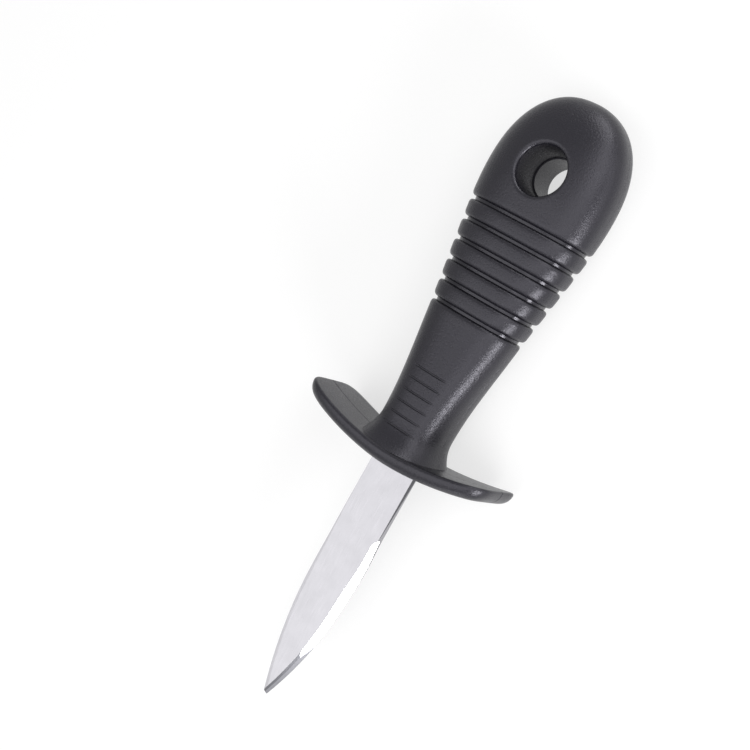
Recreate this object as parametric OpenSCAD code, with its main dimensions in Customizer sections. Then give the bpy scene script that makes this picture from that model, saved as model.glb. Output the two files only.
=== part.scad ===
// Oyster knife: a short pointed blade whose tang is held between two moulded handle halves.
// The halves carry the bowed guard, five grip ribs, a thumb rest and a stepped hanging hole.
// The knife lies on its back half, as it rests on a table: the guard's rim and the head touch it.

/* [Blade] */
// Length of blade in front of the guard
blade_out = 67.1; // [55:0.1:85]
// Width of the blade
blade_w = 12.6; // [10:0.2:15]
// Thickness of the blade
blade_t = 2; // [1.4:0.1:2.6]
// Length over which the two edges curve in to the point
point_l = 36; // [26:1:44]
// Distance of the point from the middle line, towards the unground edge
point_off = 0.6; // [0:0.1:1.5]
// Width of the ground edge where it is widest
bevel_w = 1.8; // [1:0.1:2.4]
// Width of the ground edge at the point
bevel_tip_w = 0.9; // [0.6:0.1:1.4]
// Angle of the first grind, in degrees from the straight side
bevel_turn = 2.6; // [1:0.1:9]
// Distance of the ground edge's start from the guard
bevel_from = 18.2; // [12:0.2:28]
// Slant of the ground edge's start, in degrees from straight across the blade
bevel_slant = 58; // [0:1:65]
// Metal left at the ground edge
edge_t = 0.25; // [0.15:0.05:0.6]
// How far the full width of the blade reaches into the handle
root_l = 9; // [6:0.5:12]
// Length of the narrow tang behind the full width
tang_l = 42; // [34:1:46]
// Width of the tang
tang_w = 9; // [8:0.2:10]
// Distance between the two holes in the tang
hole_pitch = 20; // [15:1:22]

/* [Handle] */
// Length of the handle, from the blade side of the guard to the butt
handle_l = 96.6; // [90:1:115]
// Squareness of the handle's section, 2 is an ellipse
section_power = 2.65; // [2.2:0.05:3.4]
// Width of the foot, where the handle meets the guard
foot_w = 21.6; // [20:0.2:27]
// Thickness of the foot
foot_t = 24.2; // [20:0.2:24.6]
// Width of the neck, the narrowest place
neck_w = 17; // [16:0.2:20]
// Thickness of the handle at the neck
neck_t = 18.6; // [16:0.2:20]
// Distance of the neck from the blade side of the guard
neck_at = 10.4; // [8:0.2:13]
// Width of the handle below the ribs
waist_w = 23.2; // [20:0.2:27]
// Thickness of the handle below the ribs
waist_t = 16.8; // [15:0.2:20]
// Width of the handle at the groove nearest the head
shoulder_w = 32.4; // [29:0.2:34]
// Thickness of the handle at the groove nearest the head
shoulder_t = 19.6; // [18:0.2:22]
// Greatest width of the head
head_w = 33.6; // [31:0.2:38]
// Greatest thickness of the head
head_t = 20.8; // [18:0.2:24]
// Length of the rounded head, from its widest place to the butt
head_l = 22.8; // [20:0.2:26]

/* [Ribs] */
// Number of grooves around the grip, with one rib fewer between them
groove_count = 6; // [3:1:7]
// Distance between grooves
groove_pitch = 5; // [4:0.1:5.4]
// Distance of the groove nearest the head from the butt
groove_from_butt = 32; // [30:0.5:35]
// Depth of a groove
groove_depth = 1.1; // [0.6:0.1:1.6]
// Width of a groove's flat floor
groove_floor = 0.7; // [0.5:0.1:1.8]
// Rounding of a rib's edges
rib_round = 0.8; // [0.4:0.1:1.1]

/* [Thumb rest] */
// Number of fine grooves on the front of the neck
thumb_count = 6; // [3:1:7]
// Distance between the fine grooves
thumb_pitch = 3; // [2.4:0.1:3.4]
// Distance of the first fine groove from the blade side of the guard
thumb_at = 8.8; // [8:0.1:10]
// Depth of a fine groove
thumb_depth = 0.4; // [0.3:0.05:0.8]
// Radius of the round tool that cuts a fine groove
thumb_r = 0.5; // [0.5:0.1:1.2]

/* [Guard] */
// Width of the guard across the blade
guard_w = 54.8; // [46:0.2:62]
// Depth of the guard, front to back
guard_d = 25.2; // [24.4:0.2:29]
// Thickness of the guard
guard_t = 3.5; // [2.8:0.1:4.2]
// How far the guard's two ends bow towards the handle
guard_bow = 5; // [2:0.1:7]
// How late the bow rises towards the ends, 2 is an even curve
bow_power = 1.8; // [1.6:0.1:3.5]
// Squareness of the guard's outline, 2 is an ellipse
guard_power = 5.2; // [3:0.1:7]
// Width of the rounding under the guard's rim, on the blade's side
rim_under = 2.6; // [1:0.1:4]
// Rounding of the rim's edge on the handle's side
rim_top_r = 0.7; // [0.3:0.1:1]

/* [Hanging hole] */
// Radius of the hole in the front half
hang_front_r = 6; // [5.5:0.1:7]
// Radius of the hole in the back half
hang_back_r = 5.4; // [4.5:0.1:5.7]
// Distance of the hole's centre from the butt
hang_from_butt = 19.8; // [18:0.2:22]
// Rounding of the hole's mouths
hang_round = 0.8; // [0.6:0.1:1.8]

/* [Joining] */
// Radius of the pegs that lock the halves and the tang
peg_r = 2; // [1.6:0.1:2.4]
// How far a peg enters the back half
peg_l = 5; // [4:0.5:6]
// Clearance around a peg in its socket and in the tang
peg_gap = 0.08; // [0.05:0.01:0.15]
// Clearance between the tang and its pocket
tang_gap = 0.06; // [0.04:0.01:0.15]

/* [Hidden] */
$fn = 96;

black_pp = "#2b2b2e";
steel = "#c9c9cf";

// Stations along the handle: x is measured from the blade side of the guard, towards the butt.
foot_at = guard_t;
groove_first = handle_l - groove_from_butt;
groove_last = groove_first - (groove_count - 1) * groove_pitch;
waist_at = (neck_at + groove_last) / 2 + groove_pitch * 2;
head_at = handle_l - head_l;
hang_at = handle_l - hang_from_butt;
stations = [foot_at, neck_at, waist_at, groove_first, head_at];
half_widths = [foot_w, neck_w, waist_w, shoulder_w, head_w] / 2;
half_depths = [foot_t, neck_t, waist_t, shoulder_t, head_t] / 2;

// Powers that shape the rounded end of the head, seen from the front and from the side.
end_rise = 2.3;
end_round_w = 2.25;
end_round_t = 2.6;

// The curve through the stations leaves the neck and reaches the head level.
function chord(v, i) = (v[i + 1] - v[i - 1]) / (stations[i + 1] - stations[i - 1]);
function first_slope(v) = 2 * (v[1] - v[0]) / (stations[1] - stations[0]);
function slope(v, i) = i == 0 ? first_slope(v) : i == 4 ? 0 : i == 1 ? 0.3 * chord(v, 1) : chord(v, i);
function hermite(v, i, h, u) =
    (2 * pow(u, 3) - 3 * pow(u, 2) + 1) * v[i] + (pow(u, 3) - 2 * pow(u, 2) + u) * h * slope(v, i)
    + (3 * pow(u, 2) - 2 * pow(u, 3)) * v[i + 1] + (pow(u, 3) - pow(u, 2)) * h * slope(v, i + 1);
function span_of(x) = x < neck_at ? 0 : x < waist_at ? 1 : x < groove_first ? 2 : 3;
function along(v, x, i) = hermite(v, i, stations[i + 1] - stations[i], (x - stations[i]) / (stations[i + 1] - stations[i]));
function end_scale(x, power) = pow(max(1 - pow((x - head_at) / head_l, end_rise), 0), 1 / power);
function half_size(v, x, power) = x <= head_at ? along(v, x, span_of(x)) : v[4] * end_scale(x, power);
function half_w(x) = half_size(half_widths, x, end_round_w);
function half_t(x) = half_size(half_depths, x, end_round_t);

// A groove as pairs of [distance from its middle, depth below the rib's face].
groove_half = groove_floor / 2;
groove_profile = [
    [-groove_half - rib_round * 1.7, 0],
    [-groove_half - rib_round * 0.9, rib_round * 0.25],
    [-groove_half - rib_round * 0.3, rib_round * 0.85],
    [-groove_half, groove_depth],
    [groove_half, groove_depth],
    [groove_half + rib_round * 0.3, rib_round * 0.85],
    [groove_half + rib_round * 0.9, rib_round * 0.25],
    [groove_half + rib_round * 1.7, 0],
];

// Every cross-section of the handle as [x, depth of groove there], in order.
foot_sink = guard_t * 0.5;
grip_steps = 15;
head_steps = 4;
end_steps = 13;
groove_reach = groove_profile[7][0];
cuts = [
    [foot_sink, 0],
    for (i = [0:grip_steps - 1]) [foot_at + (groove_last - groove_reach - foot_at) * i / grip_steps, 0],
    for (g = [groove_count - 1:-1:0]) for (p = groove_profile) [groove_first - g * groove_pitch + p[0], p[1]],
    for (i = [1:head_steps])
        [groove_first + groove_reach + (head_at - groove_first - groove_reach) * i / head_steps, 0],
    for (i = [1:end_steps]) [head_at + head_l * sin(90 * i / (end_steps + 0.35)), 0],
];

// Half a rounded cross-section. Its ends stand above the joint plane, where half_shell cuts them off.
section_steps = 22;
body_over = 1;
guard_over = 0.6;
function signed_pow(v, p) = sign(v) * pow(abs(v), p);
function half_section(w, t, power) = [
    [w, body_over],
    for (i = [1:section_steps - 1]) let (a = 180 * i / section_steps)
        [w * signed_pow(cos(a), 2 / power), -t * pow(sin(a), 2 / power)],
    [-w, body_over],
];

function ring(c) = let (x = max(c[0], foot_at)) [
    for (p = half_section(half_w(x) - c[1], half_t(x) - c[1], section_power)) [c[0], p[0], p[1]]
];

// The solid body of one half, below the joint plane z = 0 and a little over it.
module half_body() {
    n = section_steps + 1;
    m = len(cuts);
    points = [for (c = cuts) each ring(c), [handle_l, 0, body_over]];
    skin = [
        for (k = [0:m - 2]) for (i = [0:n - 2]) each [
            [k * n + i, k * n + i + 1, (k + 1) * n + i + 1],
            [k * n + i, (k + 1) * n + i + 1, (k + 1) * n + i],
        ]
    ];
    joint_face = [
        for (k = [0:m - 2]) each [
            [k * n, (k + 1) * n, (k + 1) * n + n - 1],
            [k * n, (k + 1) * n + n - 1, k * n + n - 1],
        ]
    ];
    foot_face = [for (i = [1:n - 2]) [0, i + 1, i]];
    butt = [for (i = [0:n - 2]) [(m - 1) * n + i, (m - 1) * n + i + 1, m * n]];
    butt_joint = [[(m - 1) * n, m * n, (m - 1) * n + n - 1]];
    polyhedron(points = points, faces = concat(skin, joint_face, foot_face, butt, butt_joint));
}

// Half of the bowed guard with its rim rounded, below the joint plane and a little over it.
guard_steps = 36;
function bow_at(w) = guard_bow * pow(2 * abs(w) / guard_w, bow_power);
function guard_point(j, inset) = let (a = 180 * j / guard_steps)
    [(guard_w / 2 - inset) * signed_pow(cos(a), 2 / guard_power),
     j == 0 || j == guard_steps ? guard_over : -(guard_d / 2 - inset) * pow(sin(a), 2 / guard_power)];
rim_under_h = guard_t - rim_top_r;
rim_profile = [
    for (t = [0:18:90]) [rim_under * (1 - sin(t)), rim_under_h * (1 - cos(t))],
    for (t = [30:30:90]) [rim_top_r * (1 - cos(t)), rim_under_h + rim_top_r * sin(t)],
];
rim_steps = len(rim_profile) - 1;
function rim_ring(k) = let (inset = rim_profile[k][0], h = rim_profile[k][1])
    [for (j = [0:guard_steps]) let (p = guard_point(j, inset)) [h + bow_at(p[0]), p[0], p[1]]];

module half_guard() {
    n = guard_steps + 1;
    top = rim_steps * n;
    mid_under = (rim_steps + 1) * n;
    mid_top = mid_under + n;
    points = [
        for (k = [0:rim_steps]) each rim_ring(k),
        for (j = [0:guard_steps]) let (w = guard_point(j, rim_under)[0]) [bow_at(w), w, guard_over],
        for (j = [0:guard_steps]) let (w = guard_point(j, rim_top_r)[0]) [guard_t + bow_at(w), w, guard_over],
    ];
    rim = [
        for (k = [0:rim_steps - 1]) for (j = [0:n - 2]) each [
            [k * n + j, k * n + j + 1, (k + 1) * n + j + 1],
            [k * n + j, (k + 1) * n + j + 1, (k + 1) * n + j],
        ]
    ];
    under = [for (j = [1:n - 3]) each [[j, mid_under + j, mid_under + j + 1], [j, mid_under + j + 1, j + 1]]];
    under_ends = [[0, mid_under + 1, 1], [n - 2, mid_under + n - 2, n - 1]];
    over = [
        for (j = [1:n - 3]) each [
            [top + j, mid_top + j + 1, mid_top + j],
            [top + j, top + j + 1, mid_top + j + 1],
        ]
    ];
    over_ends = [[top, top + 1, mid_top + 1], [top + n - 2, top + n - 1, mid_top + n - 2]];
    joint_face = [
        for (j = [1:n - 3]) each [
            [mid_under + j, mid_top + j, mid_top + j + 1],
            [mid_under + j, mid_top + j + 1, mid_under + j + 1],
        ]
    ];
    left_cap = [for (k = [0:rim_steps - 1]) [mid_under + 1, k * n, (k + 1) * n]];
    left_last = [[mid_under + 1, top, mid_top + 1]];
    right_cap = [for (k = [0:rim_steps - 1]) [mid_under + n - 2, (k + 1) * n + n - 1, k * n + n - 1]];
    right_last = [[mid_under + n - 2, mid_top + n - 2, top + n - 1]];
    faces = concat(rim, under, under_ends, over, over_ends, joint_face, left_cap, left_last, right_cap, right_last);
    polyhedron(points = points, faces = faces);
}

// The hole's cutter for one half: a true bore from the joint plane out, with a rounded mouth.
module hang_cutter(r) {
    face = half_t(hang_at) * pow(1 - pow((r + hang_round) / half_w(hang_at), section_power), 1 / section_power);
    far = face + 4;
    translate([hang_at, 0, 0]) rotate([180, 0, 0]) rotate_extrude() difference() {
        translate([0, -2 * body_over]) square([r + hang_round, far + 2 * body_over]);
        translate([r, -3 * body_over]) square([hang_round + 1, face - hang_round + 3 * body_over]);
        translate([r + hang_round, face - hang_round]) circle(r = hang_round);
    }
}

// All that stands above the joint plane, with the pocket for half the root and tang of the blade.
module joint_cutter() {
    deep = blade_t / 2 + tang_gap;
    full = blade_w + 2 * tang_gap;
    thin = tang_w + 2 * tang_gap;
    far = 2 * body_over;
    translate([-1, -guard_w, 0]) cube([handle_l + 2, 2 * guard_w, far]);
    translate([-2, -full / 2, -deep]) cube([root_l + tang_gap + 2, full, deep + far]);
    translate([0, -thin / 2, -deep]) cube([root_l + tang_l + tang_gap, thin, deep + far]);
}

peg_first = root_l + tang_l / 2 - hole_pitch / 2;
pegs_at = [peg_first, peg_first + hole_pitch];

module half_shell(r) {
    difference() {
        union() {
            half_body();
            half_guard();
        }
        joint_cutter();
        hang_cutter(r);
    }
}

module thumb_grooves() {
    for (i = [0:thumb_count - 1]) {
        x = thumb_at + i * thumb_pitch;
        translate([x, 0, half_t(x) - thumb_depth + thumb_r])
            rotate([90, 0, 0]) cylinder(r = thumb_r, h = neck_w, center = true);
    }
}

// The lay of the knife on a table: the back of the guard's rim and of the head both touch it.
lie_angle = asin((guard_d - head_t) / 2 / (head_at - rim_under_h));
rest_height = guard_d / 2 * cos(lie_angle) + rim_under_h * sin(lie_angle);
middle = (handle_l - blade_out) / 2 * cos(lie_angle);

module lay() {
    translate([-middle, 0, rest_height]) rotate([0, lie_angle, 0]) children();
}

// Both edges of the blade are arcs that meet at the point. The ground edge lies on the side of -y.
ground_drop = blade_w / 2 + point_off;
plain_drop = blade_w / 2 - point_off;
ground_r = (pow(point_l, 2) + pow(ground_drop, 2)) / (2 * ground_drop);
plain_r = (pow(point_l, 2) + pow(plain_drop, 2)) / (2 * plain_drop);
bend_x = -blade_out + point_l;

module blade_outline() {
    translate([bend_x, -blade_w / 2]) square([root_l - bend_x, blade_w]);
    intersection() {
        translate([-blade_out, -blade_w / 2]) square([point_l, blade_w]);
        translate([bend_x, ground_r - blade_w / 2]) circle(r = ground_r, $fn = 720);
        translate([bend_x, blade_w / 2 - plain_r]) circle(r = plain_r, $fn = 720);
    }
    translate([0, -tang_w / 2]) square([root_l + tang_l, tang_w]);
}

// Flat grinds, each touching the curved edge at its own angle and leaving edge_t of metal there.
grind_count = 6;
point_turn = asin(point_l / ground_r);
grinds = [
    for (i = [0:grind_count - 1]) let (s = i / (grind_count - 1))
        [bevel_turn + (point_turn - bevel_turn) * s, bevel_w + (bevel_tip_w - bevel_w) * s]
];

module grind(turn, w) {
    far = blade_out + 20;
    touch = [bend_x - ground_r * sin(turn), ground_r * (1 - cos(turn)) - blade_w / 2];
    translate([touch[0], touch[1], edge_t - blade_t / 2])
        rotate([0, 0, -turn])
            rotate([atan((blade_t - edge_t) / w), 0, 0])
                translate([-far, -20, 0]) cube([2 * far, 40, 20]);
}

module blade() {
    color(steel) lay() difference() {
        translate([0, 0, -blade_t / 2]) linear_extrude(blade_t) blade_outline();
        for (x = pegs_at) translate([x, 0, -blade_t]) cylinder(r = peg_r + peg_gap, h = 2 * blade_t);
        intersection() {
            translate([-bevel_from, -blade_w / 2, 0]) rotate([0, 0, bevel_slant])
                translate([-2 * blade_out, -2 * blade_out, -blade_t]) cube([2 * blade_out, 4 * blade_out, 2 * blade_t]);
            union() for (g = grinds) grind(g[0], g[1]);
        }
    }
}

module handle_front() {
    color(black_pp) lay() {
        difference() {
            mirror([0, 0, 1]) half_shell(hang_front_r);
            thumb_grooves();
        }
        for (x = pegs_at) translate([x, 0, -peg_l]) cylinder(r = peg_r, h = peg_l + blade_t);
    }
}

module handle_back() {
    color(black_pp) lay() difference() {
        half_shell(hang_back_r);
        for (x = pegs_at) translate([x, 0, -peg_l - peg_gap]) cylinder(r = peg_r + peg_gap, h = peg_l + 1);
    }
}

blade();
handle_front();
handle_back();
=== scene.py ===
import bpy
import math
from mathutils import Euler, Matrix, Vector


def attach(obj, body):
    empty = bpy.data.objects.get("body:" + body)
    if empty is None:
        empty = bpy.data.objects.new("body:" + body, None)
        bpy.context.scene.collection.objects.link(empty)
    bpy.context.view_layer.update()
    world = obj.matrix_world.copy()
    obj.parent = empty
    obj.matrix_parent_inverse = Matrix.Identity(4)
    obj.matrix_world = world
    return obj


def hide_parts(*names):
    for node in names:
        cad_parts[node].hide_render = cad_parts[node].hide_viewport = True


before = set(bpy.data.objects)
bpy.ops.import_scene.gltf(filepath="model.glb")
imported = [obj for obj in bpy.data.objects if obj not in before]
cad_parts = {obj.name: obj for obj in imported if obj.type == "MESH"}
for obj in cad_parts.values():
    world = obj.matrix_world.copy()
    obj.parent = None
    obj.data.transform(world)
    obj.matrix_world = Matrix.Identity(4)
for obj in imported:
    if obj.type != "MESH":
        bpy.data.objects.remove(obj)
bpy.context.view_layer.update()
print("packed knife loaded")

# Lengths are in millimetres and angles in degrees, unless a note says otherwise. Places run along the
# knife from the guard's blade side (0) towards the butt, and up from where the handle's halves meet.
mm = 0.001


def signedPower(value, power):
    return math.copysign(abs(value) ** power, value)


def makeActive(obj):
    if bpy.context.object and bpy.context.object.mode != "OBJECT":
        bpy.ops.object.mode_set(mode="OBJECT")
    bpy.ops.object.select_all(action="DESELECT")
    obj.select_set(True)
    bpy.context.view_layer.objects.active = obj


def applyModifier(obj, kind, **settings):
    makeActive(obj)
    modifier = obj.modifiers.new("step", kind)
    for key, value in settings.items():
        setattr(modifier, key, value)
    bpy.ops.object.modifier_apply(modifier="step")


def combine(obj, other, operation):
    applyModifier(obj, "BOOLEAN", operation=operation, object=other, solver="EXACT")
    bpy.data.objects.remove(other)


def addBlock(size, place, turn=0):
    bpy.ops.object.select_all(action="DESELECT")
    bpy.ops.mesh.primitive_cube_add(size=mm)
    block = bpy.context.object
    block.scale = size
    block.rotation_euler = (0, 0, turn)
    block.location = [c * mm for c in place]
    bpy.ops.object.transform_apply(location=True, rotation=True, scale=True)
    return block


def addDisc(sides, radius):
    bpy.ops.object.select_all(action="DESELECT")
    bpy.ops.mesh.primitive_circle_add(vertices=sides, radius=radius * mm, fill_type="NGON")
    return bpy.context.object


# The next four work in edit mode.
def cutPlane(point, normal, clearOuter=False, clearInner=False, fill=False):
    bpy.ops.mesh.select_all(action="SELECT")
    bpy.ops.mesh.bisect(
        plane_co=[c * mm for c in point], plane_no=normal,
        clear_outer=clearOuter, clear_inner=clearInner, use_fill=fill, threshold=1e-7,
    )


def extrudeBy(step):
    bpy.ops.mesh.extrude_region_move(TRANSFORM_OT_translate={"value": [c * mm for c in step]})


def resizeAbout(point, factors):
    bpy.ops.transform.resize(value=factors, center_override=[c * mm for c in point])


def faceOutwards():
    bpy.ops.mesh.select_all(action="SELECT")
    bpy.ops.mesh.normals_make_consistent(inside=False)


handle = {
    "length": 96.6,
    "squareness": 2.65,         # of the cross-section: 2 would be an ellipse
    "sides": 132,
    "start": 1.6,               # inside the guard
    "foot": (3.5, 10.8, 12.1),  # place, half width, half thickness
    "neck": (10.4, 8.5, 9.3),
    "waist": (35, 11.6, 8.4),
    "shoulder": (64.6, 16.2, 9.8),
    "head": (73.8, 16.8, 10.4),
    "neckSlope": 0.3,           # at the neck, as a share of the slope from the foot to the waist
    "endRise": 2.3,
    "endRoundWidth": 2.25,
    "endRoundThickness": 2.6,
    "smoothUnder": 33,          # edges that turn by less than this are shaded smooth
}
ribs = {
    "grooves": 6,
    "first": 64.6,
    "pitch": 5,
    "depth": 1.1,
    "floor": 0.62,
    # a groove's side: distances out from its floor, and shares of its depth
    "side": ((0, 1), (0.06, 0.94), (0.19, 0.55), (0.34, 0.3), (0.6, 0.12), (0.95, 0.03), (1.3, 0)),
    "smoothBeyond": 0.2,        # how far past its floor a groove has the smooth finish
}
stations = [handle[k] for k in ("foot", "neck", "waist", "shoulder", "head")]


# How fast the half width (axis 1) or half thickness (axis 2) grows at a station.
def slopeAt(i, axis):
    if i == len(stations) - 1:
        return 0
    if i == 0:
        return 2 * (stations[1][axis] - stations[0][axis]) / (stations[1][0] - stations[0][0])
    before, after = stations[i - 1], stations[i + 1]
    chord = (after[axis] - before[axis]) / (after[0] - before[0])
    return handle["neckSlope"] * chord if i == 1 else chord


# Half width and half thickness of the handle at a place along it.
def handleSize(place):
    place = max(place, stations[0][0])
    headPlace, headWidth, headThickness = stations[-1]
    if place >= headPlace:
        reach = ((place - headPlace) / (handle["length"] - headPlace)) ** handle["endRise"]
        left = max(1 - reach, 0)
        width = headWidth * left ** (1 / handle["endRoundWidth"])
        return width, headThickness * left ** (1 / handle["endRoundThickness"])
    i = max(k for k in range(len(stations) - 1) if stations[k][0] <= place)
    step = stations[i + 1][0] - stations[i][0]
    u = (place - stations[i][0]) / step
    size = []
    for axis in (1, 2):
        a, b = stations[i][axis], stations[i + 1][axis]
        curve = (2 * u ** 3 - 3 * u ** 2 + 1) * a + (3 * u ** 2 - 2 * u ** 3) * b
        leaving = (u ** 3 - 2 * u ** 2 + u) * step * slopeAt(i, axis)
        arriving = (u ** 3 - u ** 2) * step * slopeAt(i + 1, axis)
        size.append(curve + (leaving + arriving))
    return size


def surfaceHeight(place, across):
    width, thick = handleSize(place)
    m = handle["squareness"]
    return thick * max(1 - abs(across / width) ** m, 0) ** (1 / m)


# Where the loft gets a ring, with the depth of a groove there.
def handleRings():
    footPlace, headPlace = stations[0][0], stations[-1][0]
    groove = [(ribs["floor"] / 2 + outwards, share * ribs["depth"]) for outwards, share in ribs["side"]]
    reach = groove[-1][0]
    last = ribs["first"] - (ribs["grooves"] - 1) * ribs["pitch"]
    rings = [(handle["start"], 0)]
    neckSteps, headSteps, endSteps = 44, 10, 34
    for i in range(neckSteps):
        rings.append((footPlace + (last - reach - footPlace) * i / neckSteps, 0))
    for g in range(ribs["grooves"] - 1, -1, -1):
        centre = ribs["first"] - g * ribs["pitch"]
        rings += [(centre - outwards, deep) for outwards, deep in reversed(groove)]
        rings += [(centre + outwards, deep) for outwards, deep in groove]
        if g:
            rings.append((centre + ribs["pitch"] / 2, 0))
    start = ribs["first"] + reach
    rings += [(start + (headPlace - start) * i / headSteps, 0) for i in range(1, headSteps + 1)]
    for i in range(1, endSteps + 1):
        turn = math.pi / 2 * i / (endSteps + 0.4)   # the last ring stops just short of the butt
        rings.append((headPlace + (handle["length"] - headPlace) * math.sin(turn), 0))
    return rings


def loftHandle():
    body = addDisc(handle["sides"], 1)
    rings = handleRings()
    power = 2 / handle["squareness"]
    width, thick = handleSize(rings[0][0])
    for vertex in body.data.vertices:
        across = width * signedPower(vertex.co.x / mm, power)
        up = thick * signedPower(vertex.co.y / mm, power)
        vertex.co = (rings[0][0] * mm, across * mm, up * mm)
    bpy.ops.object.mode_set(mode="EDIT")
    bpy.ops.mesh.select_all(action="SELECT")
    before = (rings[0][0], width, thick)
    for place, inset in rings[1:]:
        width, thick = handleSize(place)
        width, thick = width - inset, thick - inset
        extrudeBy((place - before[0], 0, 0))
        resizeAbout((place, 0, 0), (1, width / before[1], thick / before[2]))
        before = (place, width, thick)
    extrudeBy((handle["length"] - before[0], 0, 0))
    bpy.ops.mesh.merge(type="CENTER")
    faceOutwards()
    bpy.ops.object.mode_set(mode="OBJECT")
    return body


guard = {
    "halfLength": 27.4,
    "halfDepth": 12.6,
    "thickness": 3.5,
    "bow": 5,
    "bowPower": 1.8,
    "squareness": 5.2,
    "sides": 176,
    "underRound": 2.6,
    "underSegments": 7,
    "topRound": 0.7,
    "topSegments": 4,
    "cuts": 40,                 # across its length, for the bow
}


def makeGuard():
    plate = addDisc(guard["sides"], 1)
    power = 2 / guard["squareness"]
    for vertex in plate.data.vertices:
        across = guard["halfLength"] * signedPower(vertex.co.x / mm, power)
        up = guard["halfDepth"] * signedPower(vertex.co.y / mm, power)
        vertex.co = (0, across * mm, up * mm)
    bpy.ops.object.mode_set(mode="EDIT")
    bpy.ops.mesh.select_all(action="SELECT")
    bpy.ops.mesh.remove_doubles(threshold=1e-6)
    extrudeBy((guard["thickness"], 0, 0))
    faceOutwards()
    for place, radius, segments in (
        (guard["thickness"], guard["topRound"], guard["topSegments"]),
        (0, guard["underRound"], guard["underSegments"]),
    ):
        bpy.ops.mesh.select_all(action="DESELECT")
        bpy.ops.mesh.select_mode(type="EDGE")
        bpy.ops.object.mode_set(mode="OBJECT")
        for edge in plate.data.edges:
            ends = [plate.data.vertices[v].co.x / mm for v in edge.vertices]
            edge.select = all(abs(x - place) < 0.01 for x in ends)
        bpy.ops.object.mode_set(mode="EDIT")
        bpy.ops.mesh.bevel(offset=radius * mm, segments=segments, affect="EDGES")
    for i in range(1, guard["cuts"]):
        cutPlane((0, guard["halfLength"] * (2 * i / guard["cuts"] - 1), 0), (0, 1, 0))
    bpy.ops.object.mode_set(mode="OBJECT")
    for vertex in plate.data.vertices:  # bows the plate towards the handle at both ends
        share = abs(vertex.co.y / mm / guard["halfLength"])
        vertex.co.x += guard["bow"] * share ** guard["bowPower"] * mm
    return plate


hangingHole = {
    "place": 76.8,
    "sides": 96,
    "frontJoint": 5.65,         # radii at the joint and at the mouth: each half's bore opens outwards
    "frontMouth": 6.15,
    "backJoint": 5.3,
    "backMouth": 5.6,
    "frontLip": 1.1,            # radius of the rounding around the front mouth
    "lipStep": 10,              # between the rings that round it
    "frontRunOut": ((1.02, -0.02), (1.3, -0.3)),  # shares of the lip outwards, and depths
    "backRing": ((0, 0.45), (0.05, 0.26), (0.15, 0.11), (0.3, 0.02), (0.5, -0.04), (1, -0.4)),
}

# How far out and how deep the rings around the two mouths run.
lip = hangingHole["frontLip"]
lipTurns = [math.radians(turn) for turn in range(0, 90, hangingHole["lipStep"])]
frontRing = [(lip * (1 - math.cos(turn)), lip * (1 - math.sin(turn))) for turn in lipTurns]
frontRing += [(share * lip, depth) for share, depth in hangingHole["frontRunOut"]]


# A cutter whose mouth follows the head's curved surface, so that the ring around it is even.
def makeHoleCutter(jointRadius, mouthRadius, ring):
    cutter = addDisc(hangingHole["sides"], jointRadius)
    cutter.location = (hangingHole["place"] * mm, 0, -mm)
    bpy.ops.object.transform_apply(location=True)
    drapeFrom, above = 50, 4    # the mouth is made up here, and let down onto the head below
    profile = [(mouthRadius + outwards, drapeFrom - depth) for outwards, depth in ring]
    bpy.ops.object.mode_set(mode="EDIT")
    bpy.ops.mesh.select_all(action="SELECT")
    beforeZ, beforeR = -1, jointRadius
    for radius, z in [(jointRadius, 0)] + profile:
        extrudeBy((0, 0, z - beforeZ))
        resizeAbout((hangingHole["place"], 0, z), (radius / beforeR, radius / beforeR, 1))
        beforeZ, beforeR = z, radius
    extrudeBy((0, 0, above))
    faceOutwards()
    bpy.ops.object.mode_set(mode="OBJECT")
    for vertex in cutter.data.vertices:
        if vertex.co.z > drapeFrom / 2 * mm:
            vertex.co.z += (surfaceHeight(vertex.co.x / mm, vertex.co.y / mm) - drapeFrom) * mm
    return cutter


thumbRest = {
    "lines": 6,
    "first": 8.8,
    "pitch": 3,
    "depth": 0.27,
    "halfLength": 4.9,
    "runOut": 5,                # power by which a line rises out of the surface at its ends
    "toolRadius": 0.28,
    "toolSides": 20,
    "toolCuts": 18,
    "toolBeyond": 0.6,          # how far the tool runs past both ends
}


# Fine round grooves that follow the neck's surface and run out at both ends.
def makeThumbCutter():
    parts = []
    reach = thumbRest["halfLength"] + thumbRest["toolBeyond"]
    for i in range(thumbRest["lines"]):
        place = thumbRest["first"] + i * thumbRest["pitch"]
        bpy.ops.object.select_all(action="DESELECT")
        bpy.ops.mesh.primitive_cylinder_add(
            vertices=thumbRest["toolSides"], radius=thumbRest["toolRadius"] * mm,
            depth=2 * reach * mm, location=(place * mm, 0, 0), rotation=(math.pi / 2, 0, 0),
        )
        line = bpy.context.object
        bpy.ops.object.transform_apply(location=True, rotation=True)
        bpy.ops.object.mode_set(mode="EDIT")
        for k in range(1, thumbRest["toolCuts"]):
            cutPlane((place, reach * (2 * k / thumbRest["toolCuts"] - 1), 0), (0, 1, 0))
        bpy.ops.object.mode_set(mode="OBJECT")
        for vertex in line.data.vertices:
            along = vertex.co.y / mm
            rise = thumbRest["depth"] * (abs(along) / thumbRest["halfLength"]) ** thumbRest["runOut"]
            surface = surfaceHeight(vertex.co.x / mm, along)
            vertex.co.z += (surface - thumbRest["depth"] + thumbRest["toolRadius"] + rise) * mm
        parts.append(line)
    makeActive(parts[0])
    for part in parts:
        part.select_set(True)
    bpy.ops.object.join()
    return parts[0]


seam = {
    "width": 0.05,              # on one half: fine along the handle, wider on the guard
    "depth": 0.04,
    "guardWidth": 0.16,
    "guardDepth": 0.18,
    "guardTo": 9.3,             # the guard's ends lie before this place, and further out than this
    "guardBeyond": 10.5,
}


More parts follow.
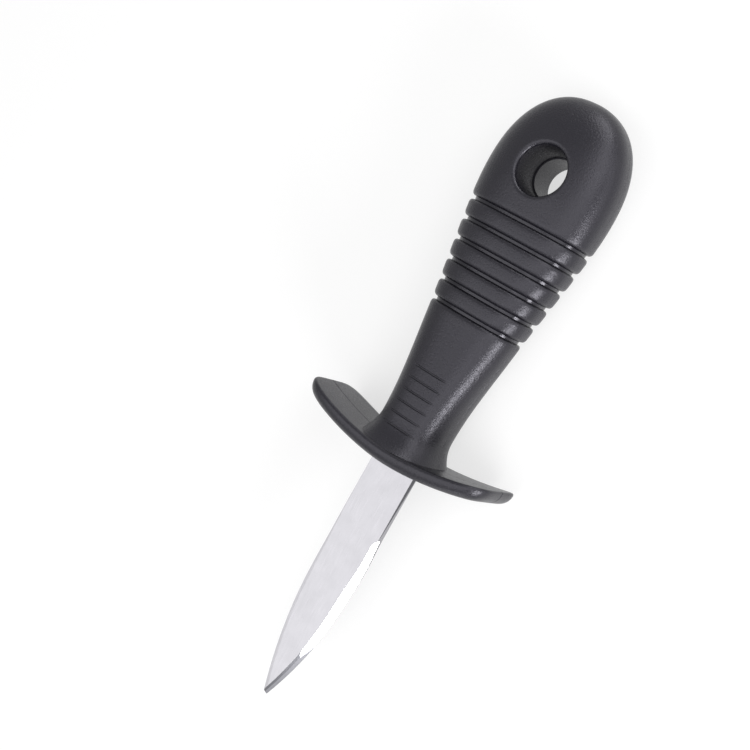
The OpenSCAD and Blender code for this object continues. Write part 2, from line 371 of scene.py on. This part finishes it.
# The outer edge of the joint face is drawn in a little, which leaves the fine line of the real seam.
def sinkSeam(half):
    touching = 0.001
    depths, moves = {}, {}
    for vertex in half.data.vertices:
        x, y, z = (c / mm for c in vertex.co)
        if x < seam["guardTo"] and abs(y) > seam["guardBeyond"]:
            depths[vertex.index] = seam["guardDepth"] if abs(z) < seam["width"] + touching else 0
        elif abs(z) < touching:
            depths[vertex.index] = seam["depth"]
    for polygon in half.data.polygons:
        if abs(polygon.normal.z) > 0.99 and abs(polygon.center.z) < touching * mm:
            continue  # the joint face itself
        for index in polygon.vertices:
            if depths.get(index):
                moves.setdefault(index, Vector()).__iadd__(polygon.normal)
    for index, normal in moves.items():
        normal.z = 0
        half.data.vertices[index].co -= normal.normalized() * depths[index] * mm


# The space for the blade's root, open on the guard's blade side.
def makePocketCutter():
    gap, ahead = 0.06, 5
    size = (blade["root"] + ahead, blade["width"] + 2 * gap, blade["thickness"] + 2 * gap)
    return addBlock(size, ((blade["root"] + gap - ahead) / 2, 0, 0))


# One half of the handle: side is 1 for the front half and -1 for the back half.
def makeHalf(whole, name, side):
    half = whole.copy()
    half.data = whole.data.copy()
    half.name = half.data.name = name
    bpy.context.scene.collection.objects.link(half)
    makeActive(half)
    bpy.ops.object.mode_set(mode="EDIT")
    cutPlane((0, 0, 0), (0, 0, side), clearInner=True, fill=True)
    for width in (seam["width"], seam["guardWidth"]):
        cutPlane((0, 0, side * width), (0, 0, side))
    bpy.ops.object.mode_set(mode="OBJECT")
    sinkSeam(half)
    if side > 0:
        cutter = makeHoleCutter(hangingHole["frontJoint"], hangingHole["frontMouth"], frontRing)
    else:
        cutter = makeHoleCutter(
            hangingHole["backJoint"], hangingHole["backMouth"], hangingHole["backRing"])
        makeActive(cutter)
        cutter.scale = (1, 1, -1)
        bpy.ops.object.transform_apply(scale=True)
        bpy.ops.object.mode_set(mode="EDIT")
        faceOutwards()
        bpy.ops.object.mode_set(mode="OBJECT")
    combine(half, cutter, "DIFFERENCE")
    combine(half, makePocketCutter(), "DIFFERENCE")
    if side > 0:
        combine(half, makeThumbCutter(), "DIFFERENCE")
    makeActive(half)
    bpy.ops.object.shade_smooth_by_angle(angle=math.radians(handle["smoothUnder"]))
    floors = [(ribs["first"] - g * ribs["pitch"]) * mm for g in range(ribs["grooves"])]
    reach = (ribs["floor"] / 2 + ribs["smoothBeyond"]) * mm
    for polygon in half.data.polygons:  # the grooves' floors get the second finish
        polygon.material_index = int(any(abs(polygon.center.x - x) < reach for x in floors))
    layDown(half)
    return half


blade = {
    "out": 67.1,
    "width": 12.6,
    "thickness": 2,
    "pointLength": 36,
    "pointOffset": 0.6,         # of the point from the middle line
    "outlineCuts": 26,
    "grindWidth": 1.54,
    "grindWidthAtPoint": 0.8,
    "grindCuts": 16,
    "grindTurn": 2.6,           # between the first grind and the straight side
    "grindFrom": 18.2,          # where the grind starts, and how slanted its start is
    "grindSlant": 58,
    "pointGrindFrom": 50.5,     # nearer the point the grind has three flats
    "pointGrindSplit": (0.5, 0.58),  # where the lower one ends, as shares of the width and height
    "pointUpper": 0.2,          # the upper ones' height above the blade's middle
    "pointFlat": 0.04,          # the third flat's offset and tilt
    "pointFlatTilt": 30,
    "belly": (26.5, 9, 0.32),   # place, reach and height of the ground edge's slight bulge
    "bellyCuts": 9,
    "bellyBeyond": 2,           # what lies nearer the middle stays
    "edgeLeft": 0.25,           # thickness that the grind leaves at the edge
    "plainGrind": 0.85,         # flat grind on the other edge, near the point
    "plainGrindTilt": 8,
    "plainGrindFrom": 0.12,     # share of the point's turn where it starts
    "plainGrindCuts": 10,
    "paintedShadeFrom": -0.9,           # lower edge of the painted shade on the blade's side: its height at the guard, and its rise
    "paintedShadeSlope": 0.094,
    "root": 9,
    "tang": 42,
    "tangWidth": 9,
    "cornerSoftness": 0.08,
    "cornerFrom": 24,           # edges that turn by more than this are softened
    "smoothUnder": 6,
}


def makeBlade():
    out, width, thick = blade["out"], blade["width"], blade["thickness"]
    piece = addBlock((out + blade["root"], width, thick), ((blade["root"] - out) / 2, 0, 0))
    piece.name = piece.data.name = "blade"
    length = blade["pointLength"]
    drops = {-1: width / 2 + blade["pointOffset"], 1: width / 2 - blade["pointOffset"]}
    radii = {side: (length ** 2 + drop ** 2) / (2 * drop) for side, drop in drops.items()}
    bend = length - out

    # The outline near the point is an arc on each side: -1 is the ground one, 1 the other.
    def touchPoint(side, turn):
        across = width / 2 - radii[side] * (1 - math.cos(turn))
        return bend - radii[side] * math.sin(turn), side * across

    def outwards(side, turn):
        return Vector((-math.sin(turn), side * math.cos(turn), 0))

    # Takes away what lies outside a plane that is tilted over from the flat.
    def cutGrind(side, turn, inside, tilt, height):
        away = outwards(side, turn)
        point = Vector((*touchPoint(side, turn), height)) - away * inside
        normal = away * math.sin(tilt) + Vector((0, 0, math.cos(tilt)))
        cutPlane(point, normal, clearOuter=True, fill=True)

    bpy.ops.object.mode_set(mode="EDIT")
    for side in (-1, 1):  # the curved outline, as many small straight cuts
        whole = math.asin(length / radii[side])
        for i in range(blade["outlineCuts"]):
            turn = whole * (i + 0.5) / blade["outlineCuts"]
            point = (*touchPoint(side, turn), 0)
            cutPlane(point, outwards(side, turn), clearOuter=True, fill=True)

    # The blank's side is split along this slanted line, and the faces above it get painted shade.
    cutPlane((0, 0, blade["paintedShadeFrom"]), (blade["paintedShadeSlope"], 0, 1))
    bpy.ops.object.mode_set(mode="OBJECT")

    # The wheel is a block as wide as its reach, less all that the grinds leave.
    kept = addBlock((260, 160, 40), (-40, 0, 0))
    bpy.ops.object.mode_set(mode="EDIT")
    start, whole = math.radians(blade["grindTurn"]), math.asin(length / radii[-1])
    pointTurn = math.asin((blade["pointGrindFrom"] + bend) / radii[-1])
    rise = thick - blade["edgeLeft"]
    edge = blade["edgeLeft"] - thick / 2
    for i in range(blade["grindCuts"]):
        share = i / (blade["grindCuts"] - 1)
        turn = start + (whole - start) * share
        reach = blade["grindWidth"] + (blade["grindWidthAtPoint"] - blade["grindWidth"]) * share
        if turn < pointTurn:
            cutGrind(-1, turn, 0, math.atan(rise / reach), edge)
            continue
        across, up = blade["pointGrindSplit"]
        cutGrind(-1, turn, 0, math.atan(up * rise / (across * reach)), edge)
        upperTilt = math.atan((1 - up) * rise / ((1 - across) * reach))
        cutGrind(-1, turn, across * reach, upperTilt, edge + up * rise)
        flatTilt = math.radians(blade["pointFlatTilt"])
        cutGrind(-1, turn, reach + blade["pointFlat"], flatTilt, thick / 2)
    bpy.ops.object.mode_set(mode="OBJECT")
    slant, span, wheelWidth = math.radians(blade["grindSlant"]), 110, 20
    wheelX = -blade["grindFrom"] - span / 2 * math.cos(slant)
    wheelY = -width / 2 - span / 2 * math.sin(slant)
    wheel = addBlock((span, span, wheelWidth), (wheelX, wheelY, 0), slant)
    combine(wheel, kept, "DIFFERENCE")
    combine(piece, wheel, "DIFFERENCE")

    makeActive(piece)
    bpy.ops.object.mode_set(mode="EDIT")
    whole = math.asin(length / radii[1])
    first, last = blade["plainGrindFrom"], blade["plainGrindCuts"] - 1
    for i in range(blade["plainGrindCuts"]):  # the flat grind on the other edge
        turn = whole * (first + (1 - first) * i / last)
        cutGrind(1, turn, blade["plainGrind"], math.radians(blade["plainGrindTilt"]), thick / 2)
    bellyAt, bellyReach, bellyHeight = blade["belly"]
    for i in range(blade["bellyCuts"]):
        share = 2 * i / (blade["bellyCuts"] - 1) - 1
        cutPlane((-bellyAt + bellyReach * share, 0, 0), (1, 0, 0))
    bpy.ops.object.mode_set(mode="OBJECT")
    for vertex in piece.data.vertices:
        share = (vertex.co.x / mm + bellyAt) / bellyReach
        if abs(share) < 1 and vertex.co.y < -blade["bellyBeyond"] * mm:
            vertex.co.y -= bellyHeight * math.cos(share * math.pi / 2) ** 2 * mm

    for polygon in piece.data.polygons:
        polygon.select = polygon.center.x > blade["root"] * mm - 1e-5
    bpy.ops.object.mode_set(mode="EDIT")
    bpy.ops.mesh.select_mode(type="FACE")
    extrudeBy((0.01, 0, 0))     # a sharp step in, and then the tang
    resizeAbout((blade["root"], 0, 0), (1, blade["tangWidth"] / width, 1))
    extrudeBy((blade["tang"], 0, 0))
    bpy.ops.mesh.select_all(action="SELECT")
    bpy.ops.mesh.remove_doubles(threshold=2e-6)
    faceOutwards()
    bpy.ops.object.mode_set(mode="OBJECT")
    applyModifier(
        piece, "BEVEL", width=blade["cornerSoftness"] * mm, segments=2, limit_method="ANGLE",
        angle_limit=math.radians(blade["cornerFrom"]), harden_normals=False,
    )
    makeActive(piece)
    bpy.ops.object.shade_smooth_by_angle(angle=math.radians(blade["smoothUnder"]))
    layDown(piece)
    return piece


# How the knife lies on its back half: the guard's rim and the head both touch the floor.
rimHeight = guard["thickness"] - guard["topRound"]
lieAngle = math.asin((guard["halfDepth"] - handle["head"][2]) / (handle["head"][0] - rimHeight))
restHeight = guard["halfDepth"] * math.cos(lieAngle) + rimHeight * math.sin(lieAngle)
middle = (handle["length"] - blade["out"]) / 2 * math.cos(lieAngle)
layMatrix = Matrix.Translation((-middle * mm, 0, restHeight * mm)) @ Matrix.Rotation(lieAngle, 4, "Y")


def layDown(obj):
    makeActive(obj)
    obj.matrix_world = layMatrix
    bpy.ops.object.transform_apply(location=True, rotation=True, scale=True)


bodyShape = loftHandle()
print("handle lofted:", len(bodyShape.data.vertices), "points")
combine(bodyShape, makeGuard(), "UNION")
print("guard joined")
handleFront = makeHalf(bodyShape, "handleFront", 1)
handleBack = makeHalf(bodyShape, "handleBack", -1)
bpy.data.objects.remove(bodyShape)
print("handle halves made")
bladePiece = makeBlade()
print("blade made:", len(bladePiece.data.polygons), "faces")


# sRGB hex code to linear colour
def linearColor(code):
    parts = [int(code[i:i + 2], 16) / 255 for i in (1, 3, 5)]
    return [c / 12.92 if c <= 0.04045 else ((c + 0.055) / 1.055) ** 2.4 for c in parts] + [1]


def addNode(tree, kind, settings=None, inputs=None):
    node = tree.nodes.new(kind)
    for key, value in (settings or {}).items():
        setattr(node, key, value)
    for key, value in (inputs or {}).items():
        if isinstance(value, bpy.types.NodeSocket):
            tree.links.new(value, node.inputs[key])
        else:
            node.inputs[key].default_value = value
    return node


def newMaterial(name):
    material = bpy.data.materials.new(name)
    material.use_nodes = True
    tree = material.node_tree
    tree.nodes.clear()
    return material, tree


plastic = {
    "dark": "#131217",
    "light": "#1a191f",
    "shine": "#f6f4ff",         # the faint violet cast of its reflections
    "cloud": 22,                # size of the slow colour change
    "grain": 0.42,              # of the mould: finer on the real one, drawn as coarse as shows
    "grainDepth": 0.1,
    "grainStrength": 0.85,
    "roughness": 0.31,
    "floorRoughness": 0.2,
    "floorGrainStrength": 0.4,
    "roughnessSpread": (-0.06, 0.08),
}


# Polypropylene moulded in a spark-eroded tool: black, with a fine even grain that breaks up highlights
def blackPolypropylene(name, roughness, grainStrength):
    material, tree = newMaterial(name)
    coords = addNode(tree, "ShaderNodeTexCoord")
    cloud = addNode(tree, "ShaderNodeTexNoise", inputs={
        "Vector": coords.outputs["Object"], "Scale": 1 / (plastic["cloud"] * mm), "Detail": 3})
    color = addNode(tree, "ShaderNodeMix", {"data_type": "RGBA"}, {0: cloud.outputs["Fac"]})
    color.inputs[6].default_value = linearColor(plastic["dark"])
    color.inputs[7].default_value = linearColor(plastic["light"])
    grain = addNode(tree, "ShaderNodeTexNoise", inputs={
        "Vector": coords.outputs["Object"], "Scale": 1 / (plastic["grain"] * mm),
        "Detail": 2.5, "Roughness": 0.6})
    smoother, rougher = plastic["roughnessSpread"]
    rough = addNode(tree, "ShaderNodeMapRange", inputs={
        "Value": grain.outputs["Fac"], "From Min": 0.3, "From Max": 0.7,
        "To Min": roughness + smoother, "To Max": roughness + rougher})
    bump = addNode(tree, "ShaderNodeBump", inputs={
        "Height": grain.outputs["Fac"], "Strength": grainStrength,
        "Distance": plastic["grainDepth"] * mm})
    shader = addNode(tree, "ShaderNodeBsdfPrincipled", inputs={
        "Base Color": color.outputs[2], "Roughness": rough.outputs["Result"], "IOR": 1.49,
        "Specular Tint": linearColor(plastic["shine"]), "Normal": bump.outputs["Normal"]})
    addNode(tree, "ShaderNodeOutputMaterial", inputs={"Surface": shader.outputs["BSDF"]})
    return material


steel = {
    "satin": "#a9a8ac",
    "satinRoughness": 0.3,
    "satinSpread": (-0.05, 0.07),
    "satinLines": 0.16,         # spacing of the polishing lines, drawn as coarse as shows
    "cloud": 5,                 # size of the slow change in tone
    "cloudTone": (0.95, 1.03),
    "ground": "#e8e8ea",
    "groundRoughness": 0.24,
    "groundSpread": (-0.05, 0.08),
    "groundLines": 0.2,         # spacing of the wheel's lines, drawn as coarse as shows
    # painted shade: dark and mid grey steel for the blade's shaded faces, not tones the steel has
    "paintedShadeDark": "#5a5a5e",
    "paintedShadeMid": "#85858a",
    "paintedShadeRoughness": 0.45,
    "lineDepth": 0.004,
}


# Stainless steel, rolled and satin polished along the blade: soft, pale, with faint long lines
def satinStainless():
    material, tree = newMaterial("satinStainlessSteel")
    coords = addNode(tree, "ShaderNodeTexCoord")
    stretch = addNode(tree, "ShaderNodeMapping", inputs={
        "Vector": coords.outputs["Object"], "Scale": (0.02, 1, 1)})
    lines = addNode(tree, "ShaderNodeTexNoise", inputs={
        "Vector": stretch.outputs["Vector"], "Scale": 1 / (steel["satinLines"] * mm), "Detail": 3})
    cloud = addNode(tree, "ShaderNodeTexNoise", inputs={
        "Vector": coords.outputs["Object"], "Scale": 1 / (steel["cloud"] * mm),
        "Detail": 4, "Roughness": 0.6})
    darker, lighter = steel["cloudTone"]
    tone = addNode(tree, "ShaderNodeMapRange", inputs={
        "Value": cloud.outputs["Fac"], "From Min": 0.3, "From Max": 0.7,
        "To Min": darker, "To Max": lighter})
    color = addNode(tree, "ShaderNodeVectorMath", {"operation": "SCALE"}, {
        "Vector": linearColor(steel["satin"])[:3], "Scale": tone.outputs["Result"]})
    smoother, rougher = steel["satinSpread"]
    rough = addNode(tree, "ShaderNodeMapRange", inputs={
        "Value": lines.outputs["Fac"], "From Min": 0.25, "From Max": 0.75,
        "To Min": steel["satinRoughness"] + smoother, "To Max": steel["satinRoughness"] + rougher})
    bump = addNode(tree, "ShaderNodeBump", inputs={
        "Height": lines.outputs["Fac"], "Strength": 0.35, "Distance": steel["lineDepth"] * mm})
    shader = addNode(tree, "ShaderNodeBsdfPrincipled", inputs={
        "Base Color": color.outputs["Vector"], "Metallic": 1,
        "Roughness": rough.outputs["Result"], "Normal": bump.outputs["Normal"]})
    addNode(tree, "ShaderNodeOutputMaterial", inputs={"Surface": shader.outputs["BSDF"]})
    return material


# The same steel where a wheel ground the edge, with short lines across the edge, bright where it was
# ground. It also makes painted shade: a dull dark grey copy and a mid grey copy of the steel, for faces
# where shade falls
def groundStainlessAndPaintedShade(name, code, roughness):
    material, tree = newMaterial(name)
    coords = addNode(tree, "ShaderNodeTexCoord")
    stretch = addNode(tree, "ShaderNodeMapping", inputs={
        "Vector": coords.outputs["Object"], "Scale": (1, 0.08, 0.08)})
    lines = addNode(tree, "ShaderNodeTexNoise", inputs={
        "Vector": stretch.outputs["Vector"], "Scale": 1 / (steel["groundLines"] * mm), "Detail": 3})
    smoother, rougher = steel["groundSpread"]
    rough = addNode(tree, "ShaderNodeMapRange", inputs={
        "Value": lines.outputs["Fac"], "From Min": 0.3, "From Max": 0.7,
        "To Min": roughness + smoother, "To Max": roughness + rougher})
    bump = addNode(tree, "ShaderNodeBump", inputs={
        "Height": lines.outputs["Fac"], "Strength": 0.3, "Distance": steel["lineDepth"] * mm})
    shader = addNode(tree, "ShaderNodeBsdfPrincipled", inputs={
        "Base Color": linearColor(code), "Metallic": 1,
        "Roughness": rough.outputs["Result"], "Normal": bump.outputs["Normal"]})
    addNode(tree, "ShaderNodeOutputMaterial", inputs={"Surface": shader.outputs["BSDF"]})
    return material


# The grooves' floors stay smooth, because the tool's ridges there can't be reached to roughen them.
plasticFinishes = (
    blackPolypropylene("blackMouldedPolypropylene", plastic["roughness"], plastic["grainStrength"]),
    blackPolypropylene(
        "smoothMouldedPolypropylene", plastic["floorRoughness"], plastic["floorGrainStrength"]),
)
for piece in (handleFront, handleBack):
    places = [polygon.material_index for polygon in piece.data.polygons]
    piece.data.materials.clear()
    for finish in plasticFinishes:
        piece.data.materials.append(finish)
    for polygon, place in zip(piece.data.polygons, places):
        polygon.material_index = place
bladePiece.data.materials.clear()
for finish in (
    satinStainless(),
    groundStainlessAndPaintedShade("groundStainlessSteel", steel["ground"], steel["groundRoughness"]),
    # painted shade: darker copies of the steel for faces where shade falls
    groundStainlessAndPaintedShade("darkPaintedShadeStainlessSteel", steel["paintedShadeDark"], steel["paintedShadeRoughness"]),
    groundStainlessAndPaintedShade("midPaintedShadeStainlessSteel", steel["paintedShadeMid"], steel["paintedShadeRoughness"]),
):
    bladePiece.data.materials.append(finish)

# The blade's finishes and its painted shade go by each face's place and normal, taken with the knife
# level. Faces whose normals rise by less than sideBelow are its side, and by more than flatAbove its
# flat.
sideBelow, steepBelow, flatAbove = 0.2, 0.8, 0.985
satinFace, groundFace, paintedShadeDarkFace, paintedShadeMidFace = range(4)
levelAgain = layMatrix.inverted()
for polygon in bladePiece.data.polygons:
    place = levelAgain @ polygon.center / mm
    normal = levelAgain.to_3x3() @ polygon.normal
    onSide = abs(normal.z) < sideBelow and normal.y < -0.9
    abovePaintedShadeLine = blade["paintedShadeSlope"] * place.x + place.z > blade["paintedShadeFrom"]
    atGrind = place.x < -blade["grindFrom"] + 0.5 and normal.y < -0.1
    atPoint = atGrind and place.x < -blade["pointGrindFrom"] and normal.z < steepBelow
    polygon.material_index = satinFace
    # painted shade: the upper strip of the blade's side, above the slanted line, gets dark steel where
    # shade and the dark handle's reflection fall
    if onSide and abovePaintedShadeLine and place.x > -blade["grindFrom"]:
        polygon.material_index = paintedShadeDarkFace
    # painted shade near the point: the upper flats get dark steel and the lower flat mid grey steel
    elif atPoint:
        upper = normal.z > sideBelow and place.z > blade["pointUpper"]
        polygon.material_index = paintedShadeDarkFace if upper else paintedShadeMidFace
    elif atGrind and sideBelow < normal.z < flatAbove:
        polygon.material_index = groundFace
print("finishes made")

for piece, node, slotName in (
    (handleFront, "handle_front", "handle_plastic"),
    (handleBack, "handle_back", "handle_plastic"),
    (bladePiece, "blade", "blade_steel"),
):
    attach(piece, "root")
    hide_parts(node)

# Distances in metres
stage = {
    "floor": "#a6a6a6",
    "floorSize": 6,
    "floorWhite": 0.64,         # added where the camera looks, so that the lit floor comes out white
    "floorWhiteFar": 1,         # the same where the lamps no longer reach
    "floorNear": 0.55,          # how far from the knife the one starts to turn into the other, and
    "floorFar": 1.5,            # how far out it has
    "floorInReflections": 0.9,  # share of that in a reflection
    "worldLight": 0.15,
    "worldInReflections": 0.65,  # how far the world goes from that to white in a reflection
}


# Only what the camera looks at is turned white, and reflections in part. The light on the knife
# stays plain.
def seenDirectly(tree, inReflections):
    rays = addNode(tree, "ShaderNodeLightPath")
    seen = addNode(tree, "ShaderNodeMath", {"operation": "MAXIMUM"}, {
        0: rays.outputs["Is Camera Ray"], 1: rays.outputs["Is Transmission Ray"]})
    mirrored = addNode(tree, "ShaderNodeMath", {"operation": "MULTIPLY"}, {
        0: rays.outputs["Is Glossy Ray"], 1: inReflections})
    either = addNode(tree, "ShaderNodeMath", {"operation": "MAXIMUM"}, {
        0: seen.outputs[0], 1: mirrored.outputs[0]})
    return either.outputs[0]


bpy.ops.object.select_all(action="DESELECT")
bpy.ops.mesh.primitive_plane_add(size=stage["floorSize"])
floor = bpy.context.object
floor.name = "floor"
floorMaterial, tree = newMaterial("paleStudioFloor")
seen = seenDirectly(tree, stage["floorInReflections"])
coords = addNode(tree, "ShaderNodeTexCoord")
distance = addNode(tree, "ShaderNodeVectorMath", {"operation": "LENGTH"}, {
    0: coords.outputs["Object"]})
white = addNode(tree, "ShaderNodeMapRange", {"interpolation_type": "SMOOTHSTEP"}, {
    "Value": distance.outputs["Value"], "From Min": stage["floorNear"], "From Max": stage["floorFar"],
    "To Min": stage["floorWhite"], "To Max": stage["floorWhiteFar"]})
strength = addNode(tree, "ShaderNodeMath", {"operation": "MULTIPLY"}, {
    0: seen, 1: white.outputs["Result"]})
paint = addNode(tree, "ShaderNodeBsdfDiffuse", inputs={"Color": linearColor(stage["floor"])})
glow = addNode(tree, "ShaderNodeEmission", inputs={
    "Color": (1, 1, 1, 1), "Strength": strength.outputs[0]})
both = addNode(tree, "ShaderNodeAddShader", inputs={0: paint.outputs[0], 1: glow.outputs[0]})
addNode(tree, "ShaderNodeOutputMaterial", inputs={"Surface": both.outputs[0]})
floor.data.materials.append(floorMaterial)

world = bpy.data.worlds.new("studio")
bpy.context.scene.world = world
world.use_nodes = True
tree = world.node_tree
tree.nodes.clear()
seen = seenDirectly(tree, stage["worldInReflections"])
brightness = addNode(tree, "ShaderNodeMapRange", inputs={
    "Value": seen, "To Min": stage["worldLight"], "To Max": 1.0})
sky = addNode(tree, "ShaderNodeBackground", inputs={
    "Color": (1, 1, 1, 1), "Strength": brightness.outputs["Result"]})
addNode(tree, "ShaderNodeOutputWorld", inputs={"Surface": sky.outputs[0]})

# Places and sizes in metres, power in watts
lampTarget = Vector((0.01, 0, 0.012))
lamps = {
    "keySoftbox": {"place": (-0.3, -0.68, 0.2), "size": (0.52, 0.24), "power": 6},
    "tipSoftbox": {"place": (-0.34, 0.19, 0.85), "size": (1.1, 0.86), "power": 4},
    "frontSoftbox": {"place": (0.04, -0.46, 0.8), "size": (0.95, 0.7), "power": 2.7},
    "headSoftbox": {"place": (0.48, -0.4, 0.46), "size": (0.5, 0.5), "power": 1.4},
    "sideSoftbox": {"place": (0.36, -0.85, 0.12), "size": (0.75, 0.32), "power": 1.1},
    "buttSoftbox": {"place": (0.85, -0.08, 0.22), "size": (0.56, 0.32), "power": 2.1},
    "pointSoftbox": {"place": (-0.9, -0.12, 0.1), "size": (0.5, 0.22), "power": 0.8},
}
for name, lamp in lamps.items():
    light = bpy.data.lights.new(name, "AREA")
    light.shape = "RECTANGLE"
    light.size, light.size_y = lamp["size"]
    light.energy = lamp["power"]
    lampObject = bpy.data.objects.new(name, light)
    bpy.context.scene.collection.objects.link(lampObject)
    lampObject.location = lamp["place"]
    facing = (lampTarget - Vector(lamp["place"])).to_track_quat("-Z", "Y")
    lampObject.rotation_euler = facing.to_euler()

# The photograph's viewpoint: above and in front, turned so that the head is up and to the right.
# Its place and turn are those it has while the knife is level.
view = {
    "place": (54.039, -129.12, 268.482),
    "turn": (8.8027, 28.159, -56.9347),
    "lens": 60,
    "sensor": 36,
}
cameraData = bpy.data.cameras.new("photoCamera")
cameraData.lens = view["lens"]
cameraData.sensor_width = view["sensor"]
cameraData.clip_start = 10 * mm
camera = bpy.data.objects.new("photoCamera", cameraData)
cameraTurn = Euler([math.radians(t) for t in view["turn"]])
camera.matrix_world = layMatrix @ Matrix.LocRotScale(Vector(view["place"]) * mm, cameraTurn, None)
bpy.context.scene.collection.objects.link(camera)
bpy.context.scene.camera = camera

bpy.context.scene.view_settings.view_transform = "Standard"
print("stage, lamps and camera set")
